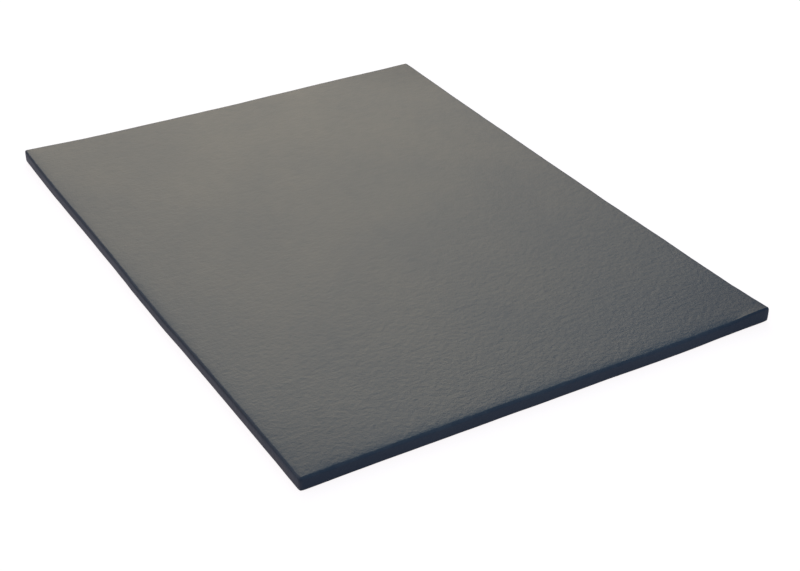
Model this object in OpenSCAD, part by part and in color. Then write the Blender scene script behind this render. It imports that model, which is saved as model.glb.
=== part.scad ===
// Folding foam mat with a coated cover, lying open and flat.
// X runs along the fold, Y across it and Z up. The fold is at y = 0, the front half
// lies at -Y, the rear half is its mirror image, and the underside is at z = 0.

/* [Mat] */
// Length of the open mat, along Y, across the fold
mat_length = 1219; // [900:1:2400]
// Width of the mat, along X
mat_width = 914; // [600:1:1500]
// Thickness of the mat, along Z
mat_thick = 25; // [20:1:60]
// Radius of the upright corners, seen from above
corner_radius = 5; // [4.5:0.5:12]

/* [Cover] */
// Thickness of the coated vinyl sheet
cover_thick = 0.8; // [0.5:0.1:1.2]
// Radius of the rolled edge round the top face
edge_radius = 4; // [3:0.5:4.5]
// Radius where the cover turns under the mat
under_radius = 3; // [2:0.5:4]
// Width of the hem that is turned in under the foam
hem_width = 30; // [20:1:60]

/* [Base] */
// Thickness of the non-slip sheet on the underside
base_thick = 1.2; // [1:0.1:2.5]
// How far the non-slip sheet stays in from the outline
base_inset = 2.5; // [1:0.5:6]

/* [Fold] */
// Open gap between the two halves when the mat lies flat
fold_gap = 0.4; // [0.2:0.1:2]
// Thickness of the sheet that closes each foam block at the fold
fold_wall_thick = 0.8; // [0.5:0.1:1.2]
// Width of the reinforcing tape across the fold, both sides together
tape_width = 60; // [30:1:100]
// Thickness of the reinforcing tape
tape_thick = 0.5; // [0.3:0.1:0.8]

/* [Seams] */
// Length of each wing of the seam strip inside a corner
seam_wing = 12; // [8:1:20]
// Thickness of the corner seam strip
seam_thick = 0.5; // [0.3:0.1:0.7]
// Diameter of the sewing thread
thread_diameter = 0.7; // [0.5:0.1:0.9]
// Distance from one stitch to the next
stitch_pitch = 8; // [6:0.5:20]
// Length of one stitch
stitch_length = 5.6; // [3:0.1:5.8]
// Distance of the stitch line from the outline and from the fold
stitch_inset = 14; // [10:1:19]

/* [Hidden] */
$fn = 64;

fit = 0.05;                  // clearance round the foam
overcut = 1;                 // how far a cutting shape runs past the part it cuts

// Plan
half_width = mat_width / 2;
half_length = mat_length / 2;
half_gap = fold_gap / 2;     // each half stops this far from y = 0
corner_x = half_width - corner_radius;   // centres of the upright corners
corner_y = half_length - corner_radius;
opening_x = half_width - hem_width;      // inner edges of the hem
opening_y = half_length - hem_width;
foam_end_y = -(half_gap + fold_wall_thick + fit);

// Heights
cover_bottom = base_thick;   // underside of the hem
side_bottom = cover_bottom + under_radius;   // the upright part of the cover's side
side_top = mat_thick - edge_radius;
side_height = side_top - side_bottom;
foam_inset = cover_thick + fit;          // from the cover's outer face to the foam
foam_bottom = cover_bottom + foam_inset;
foam_top = mat_thick - foam_inset;
foam_height = foam_top - foam_bottom;

// Tape
tape_bottom = mat_thick - cover_thick - tape_thick;
tape_end_x = half_width - edge_radius - 2;   // ends 2 mm short of the rolled edge
tape_end_room = 1;           // room in the foam beyond each end of the tape

// Non-slip sheet and stitching
base_min_radius = 1;         // least corner radius of the non-slip sheet
thread_gap = 0.05;           // below and above the thread in its groove
thread_z = thread_diameter / 2 + thread_gap;
thread_sides = 16;
groove_width = thread_diameter + 0.5;
groove_depth = thread_diameter + 2 * thread_gap;
stitch_x = half_width - stitch_inset;
stitch_outer_y = half_length - stitch_inset;
stitch_fold_y = stitch_inset;
stitch_span_y = stitch_outer_y - stitch_fold_y;

cover_colour = [0.145, 0.175, 0.215];
foam_colour = [0.80, 0.80, 0.76];
base_colour = [0.07, 0.07, 0.075];
tape_colour = [0.30, 0.31, 0.33];
thread_colour = [0.12, 0.14, 0.18];

// ---- Sections and paths ----

// Quarter of a disc on the +X side, above (side = 1) or below (side = -1) the X axis
module quarter_disc(radius, side) {
    intersection() {
        circle(r = radius);
        translate([0, side > 0 ? 0 : -2 * radius]) square(2 * radius);
    }
}

// Quarter ring of the cover's thickness
module cover_bend(radius, side) {
    difference() {
        quarter_disc(radius, side);
        circle(r = radius - cover_thick);
    }
}

// Section of the cover at an outer edge: X = 0 is the mat's side, Y is height
module cover_section() {
    translate([-cover_thick, side_bottom]) square([cover_thick, side_height]);
    translate([-edge_radius, side_top]) cover_bend(edge_radius, 1);
    translate([-under_radius, side_bottom]) cover_bend(under_radius, -1);
    translate([-corner_radius, mat_thick - cover_thick])
        square([corner_radius - edge_radius, cover_thick]);
    translate([-corner_radius, cover_bottom])
        square([corner_radius - under_radius, cover_thick]);
}

// Section of the foam inside the cover, as far in as the corner centres
module foam_section() {
    top_radius = edge_radius - foam_inset;
    bottom_radius = under_radius - foam_inset;
    top_y = foam_top - top_radius;
    bottom_y = foam_bottom + bottom_radius;
    depth = corner_radius - foam_inset;
    translate([-corner_radius, bottom_y]) square([depth, top_y - bottom_y]);
    translate([-corner_radius, top_y]) square([depth - top_radius, top_radius]);
    translate([-foam_inset - top_radius, top_y]) quarter_disc(top_radius, 1);
    translate([-corner_radius, foam_bottom]) square([depth - bottom_radius, bottom_radius]);
    translate([-foam_inset - bottom_radius, bottom_y]) quarter_disc(bottom_radius, -1);
}

// Runs a section along the three outer sides of the front half and round
// its two corners; end_y is where the two sides along Y stop at the fold
module round_three_sides(end_y) {
    for (side = [0, 1]) mirror([side, 0, 0]) {
        translate([half_width, end_y, 0]) rotate([90, 0, 0])
            linear_extrude(height = corner_y + end_y) children();
        translate([corner_x, -corner_y, 0]) rotate([0, 0, -90])
            rotate_extrude(angle = 90) translate([corner_radius, 0]) children();
    }
    translate([corner_x, -half_length, 0]) rotate([90, 0, -90])
        linear_extrude(height = 2 * corner_x) children();
}

// Slab at foam height between the corner centres in X, from start_y towards +Y
module foam_slab(start_y, length) {
    translate([-corner_x, start_y, foam_bottom])
        cube([2 * corner_x, length, foam_height]);
}

// ---- Parts of the front half ----

// Coated sheet: top face, rolled edges, sides and hem
module cover_half() {
    round_three_sides(-half_gap) cover_section();
    translate([-corner_x, -corner_y, mat_thick - cover_thick])
        cube([2 * corner_x, corner_y - half_gap, cover_thick]);
    translate([0, 0, cover_bottom]) linear_extrude(height = cover_thick) difference() {
        translate([-corner_x, -corner_y]) square([2 * corner_x, corner_y - half_gap]);
        translate([-opening_x, -opening_y]) square([2 * opening_x, opening_y + overcut]);
    }
}

// L-shaped strip in plan, wrapped round the inside of the corner at +X, -Y.
// room widens it all round; extra carries it outwards past its outer face.
module corner_strip_plan(room, extra) {
    radius = corner_radius - cover_thick + room;
    thick = seam_thick + 2 * room;
    wing = seam_wing + room;
    translate([corner_x, -corner_y]) difference() {
        quarter_disc(radius + extra, -1);
        circle(r = radius - thick);
    }
    translate([corner_x + radius - thick, -corner_y]) square([thick + extra, wing]);
    translate([corner_x - wing, -corner_y - radius - extra]) square([wing, thick + extra]);
}

// Strips in both corners, or with room and extra the space they need in the foam
module corner_strips(room = 0, extra = 0) {
    for (side = [0, 1]) mirror([side, 0, 0])
        translate([0, 0, side_bottom - room])
            linear_extrude(height = side_height + 2 * room)
                corner_strip_plan(room, extra);
}

// Foam block, which also fills the opening inside the hem
module foam_half() {
    recess_x = tape_end_x + tape_end_room;
    plug_x = opening_x - fit;
    plug_y = opening_y - fit;
    difference() {
        union() {
            round_three_sides(foam_end_y) foam_section();
            foam_slab(-corner_y, corner_y + foam_end_y);
            translate([-plug_x, -plug_y, cover_bottom + fit])
                cube([2 * plug_x, plug_y + foam_end_y, cover_thick + fit]);
        }
        // room for the tape under the top sheet
        translate([-recess_x, -tape_width / 2 - fit, tape_bottom - fit])
            cube([2 * recess_x, tape_width, cover_thick + tape_thick]);
        corner_strips(room = fit, extra = overcut);
    }
}

// Sheet that closes the foam block at the fold, cut off below the tape
module fold_wall_half() {
    reach_y = 10;            // the keeping block spans the wall generously
    intersection() {
        translate([0, -half_gap, 0]) union() {
            for (side = [0, 1]) mirror([side, 0, 0]) translate([half_width, 0, 0])
                rotate([90, 0, 0]) linear_extrude(height = fold_wall_thick) foam_section();
            foam_slab(-fold_wall_thick, fold_wall_thick);
        }
        translate([-half_width, -reach_y, 0])
            cube([mat_width, 2 * reach_y, tape_bottom - fit]);
    }
}

// Half of the tape that lies under the top sheet along the fold
module hinge_tape_half() {
    translate([-tape_end_x, -tape_width / 2, tape_bottom])
        cube([2 * tape_end_x, tape_width / 2 - half_gap, tape_thick]);
}

// Outline of the non-slip sheet, rounded at its two outer corners
module base_plan() {
    radius = max(corner_radius - base_inset, base_min_radius);
    edge_x = half_width - base_inset;
    edge_y = half_length - base_inset;
    round_x = edge_x - radius;
    round_y = edge_y - radius;
    translate([-round_x, -edge_y]) square([2 * round_x, edge_y - half_gap]);
    translate([-edge_x, -round_y]) square([2 * edge_x, round_y - half_gap]);
    for (side = [-1, 1]) translate([side * round_x, -round_y]) circle(r = radius);
}

// Rectangle on the stitch line, moved outwards by grow (inwards if negative)
module stitch_rectangle(grow) {
    translate([-stitch_x - grow, -stitch_outer_y - grow])
        square([2 * (stitch_x + grow), stitch_span_y + 2 * grow]);
}

module groove_plan() {
    difference() {
        stitch_rectangle(groove_width / 2);
        stitch_rectangle(-groove_width / 2);
    }
}

// Non-slip sheet with the thread's groove in its underside
module base_half() {
    difference() {
        linear_extrude(height = base_thick) base_plan();
        translate([0, 0, -overcut])
            linear_extrude(height = groove_depth + overcut) groove_plan();
    }
}

// Row of stitches along X, centred on the origin, that fits in the given length
module stitch_row(length) {
    count = floor((length - stitch_pitch) / stitch_pitch);
    for (i = [0 : count - 1])
        translate([(i - (count - 1) / 2) * stitch_pitch - stitch_length / 2, 0, 0])
            rotate([0, 90, 0])
                cylinder(d = thread_diameter, h = stitch_length, $fn = thread_sides);
}

module stitching_half() {
    for (row_y = [stitch_outer_y, stitch_fold_y])
        translate([0, -row_y, thread_z]) stitch_row(2 * stitch_x);
    for (side = [-1, 1])
        translate([side * stitch_x, -(stitch_outer_y + stitch_fold_y) / 2, thread_z])
            rotate([0, 0, 90]) stitch_row(stitch_span_y);
}

// ---- Nodes ----

// Mirrors a part of the front half to the rear
module rear() { mirror([0, 1, 0]) children(); }

module top_cover_front() { color(cover_colour) cover_half(); }
module top_cover_rear() { color(cover_colour) rear() cover_half(); }
module foam_core_front() { color(foam_colour) foam_half(); }
module foam_core_rear() { color(foam_colour) rear() foam_half(); }
module base_sheet_front() { color(base_colour) base_half(); }
module base_sheet_rear() { color(base_colour) rear() base_half(); }
module fold_wall_front() { color(base_colour) fold_wall_half(); }
module fold_wall_rear() { color(base_colour) rear() fold_wall_half(); }
module hinge_tape_front() { color(tape_colour) hinge_tape_half(); }
module hinge_tape_rear() { color(tape_colour) rear() hinge_tape_half(); }
module corner_seams_front() { color(cover_colour) corner_strips(); }
module corner_seams_rear() { color(cover_colour) rear() corner_strips(); }
module base_stitching_front() { color(thread_colour) stitching_half(); }
module base_stitching_rear() { color(thread_colour) rear() stitching_half(); }

top_cover_front();
top_cover_rear();
foam_core_front();
foam_core_rear();
base_sheet_front();
base_sheet_rear();
fold_wall_front();
fold_wall_rear();
hinge_tape_front();
hinge_tape_rear();
corner_seams_front();
corner_seams_rear();
base_stitching_front();
base_stitching_rear();
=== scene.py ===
# A padded mat of two foam panels in one vinyl cover, lying open on the floor.
# The floor is z = 0 and the fold runs along y = 0. The front panel is at -Y and the rear
# panel at +Y, left is -X and right is +X. Sizes are in metres.
import math
from collections import namedtuple

import bpy
import numpy as np
from mathutils import Matrix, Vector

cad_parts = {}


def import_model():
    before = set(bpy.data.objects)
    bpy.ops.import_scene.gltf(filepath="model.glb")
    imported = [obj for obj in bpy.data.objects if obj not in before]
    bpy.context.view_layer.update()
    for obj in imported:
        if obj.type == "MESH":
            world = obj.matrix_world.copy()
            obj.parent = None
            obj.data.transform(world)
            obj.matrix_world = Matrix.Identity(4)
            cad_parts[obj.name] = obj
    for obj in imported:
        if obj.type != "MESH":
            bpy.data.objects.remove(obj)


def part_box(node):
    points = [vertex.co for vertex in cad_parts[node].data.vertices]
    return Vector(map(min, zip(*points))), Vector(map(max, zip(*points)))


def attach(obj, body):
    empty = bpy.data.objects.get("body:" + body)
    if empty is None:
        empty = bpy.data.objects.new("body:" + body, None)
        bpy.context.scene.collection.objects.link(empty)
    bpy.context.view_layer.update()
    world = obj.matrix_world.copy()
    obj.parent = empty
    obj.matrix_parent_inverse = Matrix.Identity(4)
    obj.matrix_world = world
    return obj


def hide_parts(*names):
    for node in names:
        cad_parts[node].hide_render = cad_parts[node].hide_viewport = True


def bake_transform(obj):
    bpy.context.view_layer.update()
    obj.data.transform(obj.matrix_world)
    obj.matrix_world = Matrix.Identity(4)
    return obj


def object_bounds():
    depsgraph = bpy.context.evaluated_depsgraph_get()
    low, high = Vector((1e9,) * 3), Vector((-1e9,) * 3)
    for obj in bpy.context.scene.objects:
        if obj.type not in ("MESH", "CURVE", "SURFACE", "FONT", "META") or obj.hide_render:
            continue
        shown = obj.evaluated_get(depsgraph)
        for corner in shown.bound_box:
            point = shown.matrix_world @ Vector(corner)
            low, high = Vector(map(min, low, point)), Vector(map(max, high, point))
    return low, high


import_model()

# ---------------------------------------------------------------- sizes
MM = 0.001
CAD_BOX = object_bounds()
MAT_LO, MAT_HI = CAD_BOX
BASE_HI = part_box("base_sheet_front")[1]
COVER_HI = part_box("top_cover_front")[1]
WALL_LO, WALL_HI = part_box("fold_wall_front")
TAPE_LO, TAPE_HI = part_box("hinge_tape_front")
FOAM_LO, FOAM_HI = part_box("foam_core_front")
SEAM_LO, SEAM_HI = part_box("corner_seams_front")

HALF_X = (MAT_HI.x - MAT_LO.x) / 2
HALF_Y = (MAT_HI.y - MAT_LO.y) / 2
TOP = MAT_HI.z
SPLIT = -COVER_HI.y                  # half of the closed split between the panels
BASE_TOP = BASE_HI.z                 # top of the base sheet, underside of the hem
COVER_T = TOP - TAPE_HI.z            # thickness of the vinyl sheet
BASE_INSET = HALF_X - BASE_HI.x
CORNER_R = 5 * MM                    # upright corners
ROLL_R = 4 * MM                      # roll round the top
FOAM_UNDER_R = 3 * MM                # under roll of the foam, outside its cover
COVER_UNDER_R = 1.5 * MM             # the cover turns under more tightly than the foam
HEM = 30 * MM                        # how far the cover reaches in under the foam
STITCH_INSET = 14 * MM               # stitch line from the outline
CENTRE_X = HALF_X - CORNER_R         # centre of an upright corner
CENTRE_Y = HALF_Y - CORNER_R
MEET = SPLIT - 0.02 * MM             # inside, the halves press together along the split
BLEND = SPLIT * 0.95                 # half of the strip that bends
FOLD_STEPS = 8


# ---------------------------------------------------------------- curves and seeded noise
def smooth(t):
    """Eased step from 0 to 1."""
    t = np.clip(t, 0, 1)
    return t * t * (3 - 2 * t)


def mix(a, b, t):
    return a + (b - a) * t


def bell(distance, spread):
    return np.exp(-(distance / spread) ** 2)


def roll_drop(depth, radius):
    """How far a rounded edge falls below the flat, at a depth in from the edge."""
    return radius - np.sqrt(np.maximum(radius * radius - np.clip(radius - depth, 0, None) ** 2, 0))


def hash01(ix, iy, seed):
    h = ix.astype(np.int64) * 374761393 + iy.astype(np.int64) * 668265263 + seed * 974634777
    h = h & 0xFFFFFFFF
    h = ((h ^ (h >> 13)) * 1274126177) & 0xFFFFFFFF
    return ((h ^ (h >> 16)) & 0xFFFFFF) / float(0xFFFFFF)


def noise(x, y, seed):
    """Smooth gradient noise, about -1 to 1."""
    x, y = np.broadcast_arrays(np.asarray(x, float), np.asarray(y, float))
    cell_x, cell_y = np.floor(x), np.floor(y)
    in_x, in_y = x - cell_x, y - cell_y
    ease_x = in_x ** 3 * (in_x * (in_x * 6 - 15) + 10)
    ease_y = in_y ** 3 * (in_y * (in_y * 6 - 15) + 10)

    def corner(dx, dy):
        angle = 2 * math.pi * hash01(cell_x + dx, cell_y + dy, seed)
        return np.cos(angle) * (in_x - dx) + np.sin(angle) * (in_y - dy)

    near = corner(0, 0) * (1 - ease_x) + corner(1, 0) * ease_x
    far = corner(0, 1) * (1 - ease_x) + corner(1, 1) * ease_x
    return 1.5 * (near * (1 - ease_y) + far * ease_y)


# ---------------------------------------------------------------- how soft the edges are
SAG_REACH = 10 * MM
ROLL_FOOT = 8 * MM                   # the roll takes up the side above this height
TUCK, TUCK_REACH = 0.85 * MM, 2.4 * MM    # the under edge droops round the base sheet
PUFF = 1.5 * MM                      # rise of the pinched front right corner
PUFF_SPREAD = 44 * MM


def edge_shape(x, y):
    """Radius of the top roll, and how far the foam sags there, at the nearest outline."""
    part_x, part_y = (x + HALF_X) / (2 * HALF_X), (y + HALF_Y) / (2 * HALF_Y)

    def uneven(along, seed):
        return 1 + 0.16 * noise(along / 0.070, 0.3, seed) + 0.10 * noise(along / 0.024, 0.7, seed + 1)

    # the front is pinched near its right end, and fuller again at the very tip
    tip = smooth((x - (HALF_X - 13 * MM)) / (10 * MM))
    pinch = smooth((x - (HALF_X - 66 * MM)) / (34 * MM)) * (1 - tip)
    front = mix(mix(4.8 * MM * uneven(x, 31), 2.4 * MM, pinch), 4.6 * MM, tip)
    front_sag = 2.0 * MM * uneven(x, 39) * smooth(0.25 + part_x / 0.08)
    front_sag = front_sag * (1 - smooth((x - (HALF_X - 80 * MM)) / (50 * MM)))
    # the left sags most near the fold and towards the front, and is tighter at the back
    left = mix(3.2 * MM * uneven(y, 33), 2.6 * MM, smooth((part_y - 0.88) / 0.08))
    left_sag = 1.3 + 0.3 * smooth((0.58 - part_y) / 0.16) + 0.6 * bell(part_y - 0.44, 0.16)
    left_sag = mix(left_sag * MM * uneven(y, 40), 1.0 * MM, smooth((part_y - 0.92) / 0.06))
    # distance from the side, roll radius, sag
    sides = (
        (y + HALF_Y, front, front_sag),
        (x + HALF_X, left, left_sag),
        (HALF_Y - y, 4.4 * MM * uneven(x, 35), 0.5 * MM),
        (HALF_X - x, 4.4 * MM * uneven(y, 37), 0.5 * MM),
    )
    radius, sag, total = 0.0, 0.0, 0.0
    for distance, side_radius, side_sag in sides:
        weight = 1 / (np.maximum(distance, 0) + 1.5 * MM) ** 2
        radius = radius + weight * side_radius
        sag = sag + weight * side_sag
        total = total + weight
    return radius / total, sag / total


def soften(points):
    """Heights that give every layer the uneven roll of the cover, so they stay nested."""
    x, y, z = points.T
    in_x, in_y = HALF_X - np.abs(x), HALF_Y - np.abs(y)
    depth = np.where((in_x < CORNER_R) & (in_y < CORNER_R),
                     CORNER_R - np.hypot(CORNER_R - in_x, CORNER_R - in_y),
                     np.minimum(in_x, in_y))
    depth = np.clip(depth, 0, None)
    radius, sag = edge_shape(x, y)
    soft = TOP - roll_drop(depth, radius) - sag * np.exp(-depth / SAG_REACH) - ROLL_FOOT
    scale = soft / (TOP - roll_drop(depth, ROLL_R) - ROLL_FOOT)
    height = np.where(z > ROLL_FOOT, ROLL_FOOT + (z - ROLL_FOOT) * scale, z)
    from_pinch = np.hypot(x - (HALF_X - 14 * MM), y - (12 * MM - HALF_Y))
    height = height + (PUFF * bell(from_pinch, PUFF_SPREAD)
                       * smooth((z - ROLL_FOOT) / (TOP - ROLL_FOOT)))
    return height - TUCK * smooth(1 - depth / TUCK_REACH) * smooth((6 * MM - z) / (5 * MM))


# ---------------------------------------------------------------- how the whole mat lies
CURL_REACH = 180 * MM
SWELL_REACH = 70 * MM
WAVE_REACH = 45 * MM
# Corners: x side, y side, curl up off the floor and bluntness in mm
CORNERS = ((-1, 1, 3.8, 0.4), (1, 1, 0.0, 0.4), (1, -1, 1.3, 0.9), (-1, -1, 0.0, 0.4))
BLUNT_SPREAD = 9 * MM
# A low rise of the front edge near the right corner: place from the right, height, spread
LIFT_FROM_RIGHT, LIFT, LIFT_SPREAD = 70 * MM, 0.9 * MM, 42 * MM
# Sides: axis, outward sign, bow outwards in mm, wave seed, swells.
# Swells: place along the side from 0 to 1, spread, how far out at the floor and top in mm
SIDES = (
    # right
    (0, 1, -3.0, 11, ((0.0, 0.13, 2.4, 2.4), (0.24, 0.07, 1.0, 1.0), (1.0, 0.09, 2.0, 2.0))),
    # left
    (0, -1, 1.3, 12, ((0.45, 0.11, 2.0, 2.0), (0.0, 0.05, 1.0, 1.0), (0.42, 0.17, 0.0, 1.3))),
    # back
    (1, 1, -3.0, 13, ((0.80, 0.19, 4.2, 4.2), (0.04, 0.16, 1.6, 1.6), (1.0, 0.06, 2.4, 2.4))),
    # front
    (1, -1, 0.6, 14, ((0.75, 0.08, 1.8, 0.0), (0.0, 0.06, 1.6, 1.6))),
)


def lie(points):
    """Moves rest points the way the mat lies: soft edges, curled corners, wavy sides."""
    points = np.array(points, float).reshape(-1, 3)
    points[:, 2] = soften(points)
    x, y, z = points.T.copy()
    for side_x, side_y, curl, bluntness in CORNERS:
        away = np.hypot(x - side_x * HALF_X, y - side_y * HALF_Y)
        points[:, 2] += curl * MM * np.clip(1 - away / CURL_REACH, 0, 1) ** 2
        blunt = bluntness * MM * bell(away, BLUNT_SPREAD)
        points[:, 0] -= side_x * blunt
        points[:, 1] -= side_y * blunt
    from_lift = np.hypot(x - HALF_X + LIFT_FROM_RIGHT, y + HALF_Y)
    points[:, 2] += LIFT * bell(from_lift, LIFT_SPREAD)

    calm = smooth(np.abs(y) / (40 * MM))      # the two halves meet squarely at the fold
    for axis, sign, bow, seed, swells in SIDES:
        if axis == 0:
            across, half, along, half_along = x, HALF_X, y, HALF_Y
        else:
            across, half, along, half_along = y, HALF_Y, x, HALF_X
        depth = half - sign * across
        push = (bow * MM * (1 - (along / half_along) ** 2)
                * np.clip(sign * across / half, 0, 1) ** 2)
        part = (along + half_along) / (2 * half_along)
        for place, spread, at_floor, at_top in swells:
            push += (mix(at_floor * MM, at_top * MM, np.clip(z / TOP, 0, 1))
                     * bell(part - place, spread) * np.clip(1 - depth / SWELL_REACH, 0, 1) ** 2)
        # soft waves, dying away inside the mat
        wave = (0.40 * MM * noise(along / 0.085, 0.5, seed)
                + 0.25 * MM * noise(along / 0.034, 0.5, seed + 20))
        if axis == 0:
            wave = wave * calm
        push += wave * np.clip(1 - depth / WAVE_REACH, 0, 1.2) ** 2
        points[:, axis] += sign * push
    return points


# ---------------------------------------------------------------- making objects
def add_attribute(mesh, name, kind, key, values):
    mesh.attributes.new(name, kind, "POINT").data.foreach_set(key, values)


def make(name, shape, mat, replaces):
    verts, faces = shape
    mesh = bpy.data.meshes.new(name)
    mesh.from_pydata(lie(verts).tolist(), [], faces)
    mesh.validate()
    mesh.update()
    mesh.polygons.foreach_set("use_smooth", np.ones(len(mesh.polygons), bool))
    rest = np.zeros(len(mesh.vertices) * 3, np.float32)
    mesh.vertices.foreach_get("co", rest)
    add_attribute(mesh, "rest_co", "FLOAT_VECTOR", "vector", rest)
    obj = bpy.data.objects.new(name, mesh)
    bpy.context.scene.collection.objects.link(obj)
    mesh.materials.append(mat)
    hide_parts(*replaces)
    return obj


def sharpen(obj, degrees):
    """Marks edges sharper than this as sharp, so the rest shades smoothly."""
    obj.data.set_sharp_from_angle(angle=math.radians(degrees))


def make_halves(name, shape, mat, sharp_angle=None):
    """Makes the front piece, and the rear one as its mirror image."""
    verts, faces = shape
    mirrored = verts * np.array((1, -1, 1)), [tuple(reversed(face)) for face in faces]
    for body, half in (("front", shape), ("rear", mirrored)):
        piece = f"{name}_{body}"
        obj = make(piece, half, mat, (piece,))
        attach(obj, body + "_panel")
        if sharp_angle is not None:
            sharpen(obj, sharp_angle)


def make_bending(name, shape, mat, marks=None):
    """Makes one piece that runs across the fold, in place of its front and rear pieces."""
    obj = make(name, shape, mat, (name + "_front", name + "_rear"))
    for mark, values in (marks or {}).items():
        add_attribute(obj.data, mark, "FLOAT", "value", np.asarray(values, np.float32))
    sharpen(obj, 50)
    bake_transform(obj)


# ---------------------------------------------------------------- node helpers
def rgb(r, g, b):
    return (r, g, b, 1.0)


class Nodes:
    """Builds one node tree. An input takes a plain value or another node's output."""

    def __init__(self, tree):
        self.tree = tree
        tree.nodes.clear()

    def new(self, kind, inputs=None, **props):
        node = self.tree.nodes.new(kind)
        for key, value in props.items():
            setattr(node, key, value)
        for key, value in (inputs or {}).items():
            socket = node.inputs[key]
            if hasattr(value, "is_output"):
                self.tree.links.new(value, socket)
            else:
                socket.default_value = value
        return node

    def math(self, operation, a, b, clamp=False):
        node = self.new("ShaderNodeMath", {0: a, 1: b}, operation=operation, use_clamp=clamp)
        return node.outputs[0]

    def vector(self, operation, a, b=(0, 0, 0)):
        node = self.new("ShaderNodeVectorMath", {0: a, 1: b}, operation=operation)
        return node.outputs["Value" if operation in ("DOT_PRODUCT", "LENGTH") else "Vector"]

    def mix(self, factor, a, b, blend="MIX"):
        node = self.new("ShaderNodeMix", {"Factor": factor, "A": a, "B": b},
                        data_type="RGBA", blend_type=blend)
        return node.outputs["Result"]

    def ramp(self, value, span, to=(0.0, 1.0), kind="SMOOTHSTEP"):
        """Maps the span of the value onto another span."""
        inputs = dict(enumerate((value, *span, *to)))
        return self.new("ShaderNodeMapRange", inputs, interpolation_type=kind).outputs["Result"]

    def noise(self, place, scale, detail=2.0, rough=0.5):
        inputs = {"Vector": place, "Scale": scale, "Detail": detail, "Roughness": rough}
        return self.new("ShaderNodeTexNoise", inputs).outputs["Fac"]

    def voronoi(self, place, scale):
        inputs = {"Vector": place, "Scale": scale}
        return self.new("ShaderNodeTexVoronoi", inputs, feature="F1").outputs["Distance"]

    def wave(self, place, direction, **inputs):
        inputs = {key.replace("_", " "): value for key, value in inputs.items()}
        node = self.new("ShaderNodeTexWave", {"Vector": place, **inputs}, wave_type="BANDS",
                        bands_direction=direction, wave_profile="SIN")
        return node.outputs["Fac"]

    def attribute(self, name, kind="Fac"):
        return self.new("ShaderNodeAttribute", attribute_name=name).outputs[kind]

    def bump(self, height, distance, strength=1.0, normal=None):
        inputs = {"Strength": strength, "Distance": distance, "Height": height}
        if normal is not None:
            inputs["Normal"] = normal
        return self.new("ShaderNodeBump", inputs).outputs["Normal"]

    def shader(self, kind, color):
        return self.new("ShaderNode" + kind, {"Color": color}).outputs[0]

    def camera_or_rest(self, seen, rest):
        """One shader for what the camera sees directly, another for all other light."""
        is_camera = self.new("ShaderNodeLightPath").outputs["Is Camera Ray"]
        return self.new("ShaderNodeMixShader", {0: is_camera, 1: rest, 2: seen}).outputs[0]

    def principled(self, **inputs):
        inputs = {key.replace("_", " "): value for key, value in inputs.items()}
        surface = self.new("ShaderNodeBsdfPrincipled", inputs).outputs[0]
        self.new("ShaderNodeOutputMaterial", {0: surface})


def material(name):
    mat = bpy.data.materials.new(name)
    mat.use_nodes = True
    return mat, Nodes(mat.node_tree)


# ---------------------------------------------------------------- materials
VINYL_ROUGH, VINYL_SHINE = 0.40, 0.5
# Handled corners that have lost some shine: x side, y side, share lost
DULL_CORNERS = ((-1, -1, 0.20), (1, -1, 0.38), (1, 1, 0.26))
DULL_REACH = 0.22
TAPE_DARK, TAPE_LIGHT = rgb(0.045, 0.048, 0.056), rgb(0.13, 0.135, 0.15)
TAPE_PITCH = 0.0011


def vinyl_color(nodes, rest, blotch, tone, painted_shade_line):
    """Navy with blotches and flecks; with the marks, also wear patches, a painted mauve glow of light
    low on the left side and a painted dark line of shade where the left side rolls into the top.
    """
    def toned(r, g, b):
        return rgb(r * tone, g * tone, b * tone)

    color = nodes.mix(nodes.ramp(blotch, (0.35, 0.65)),
                      toned(0.0175, 0.0285, 0.0480), toned(0.0215, 0.0335, 0.0540))
    fleck = nodes.ramp(nodes.noise(rest, scale=420.0, detail=2, rough=0.6), (0.45, 0.75))
    color = nodes.mix(nodes.math("MULTIPLY", fleck, 0.35), color, toned(0.030, 0.042, 0.062))
    if painted_shade_line is None:
        return color
    patches = nodes.ramp(nodes.noise(rest, scale=60.0, detail=4, rough=0.6), (0.42, 0.68))
    worn = nodes.math("MULTIPLY", nodes.attribute("wear"), patches, clamp=True)
    color = nodes.mix(nodes.math("MULTIPLY", worn, 0.35), color, rgb(0.055, 0.062, 0.078))
    # painted light: a lighter mauve glow low on the left side, where light from the left falls, in
    # soft patches
    patches = nodes.ramp(nodes.noise(rest, scale=18.0, detail=3, rough=0.6), (0.30, 0.65),
                         to=(0.55, 1.0))
    painted_glow_patches = nodes.math("MULTIPLY", nodes.attribute("painted_left_light"), patches, clamp=True)
    color = nodes.mix(painted_glow_patches, color, rgb(0.0710, 0.0610, 0.0690))
    # painted shade: a near-black line along the left top edge
    return nodes.mix(nodes.math("MULTIPLY", painted_shade_line, 0.7), color, rgb(0.006, 0.008, 0.012))


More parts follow.
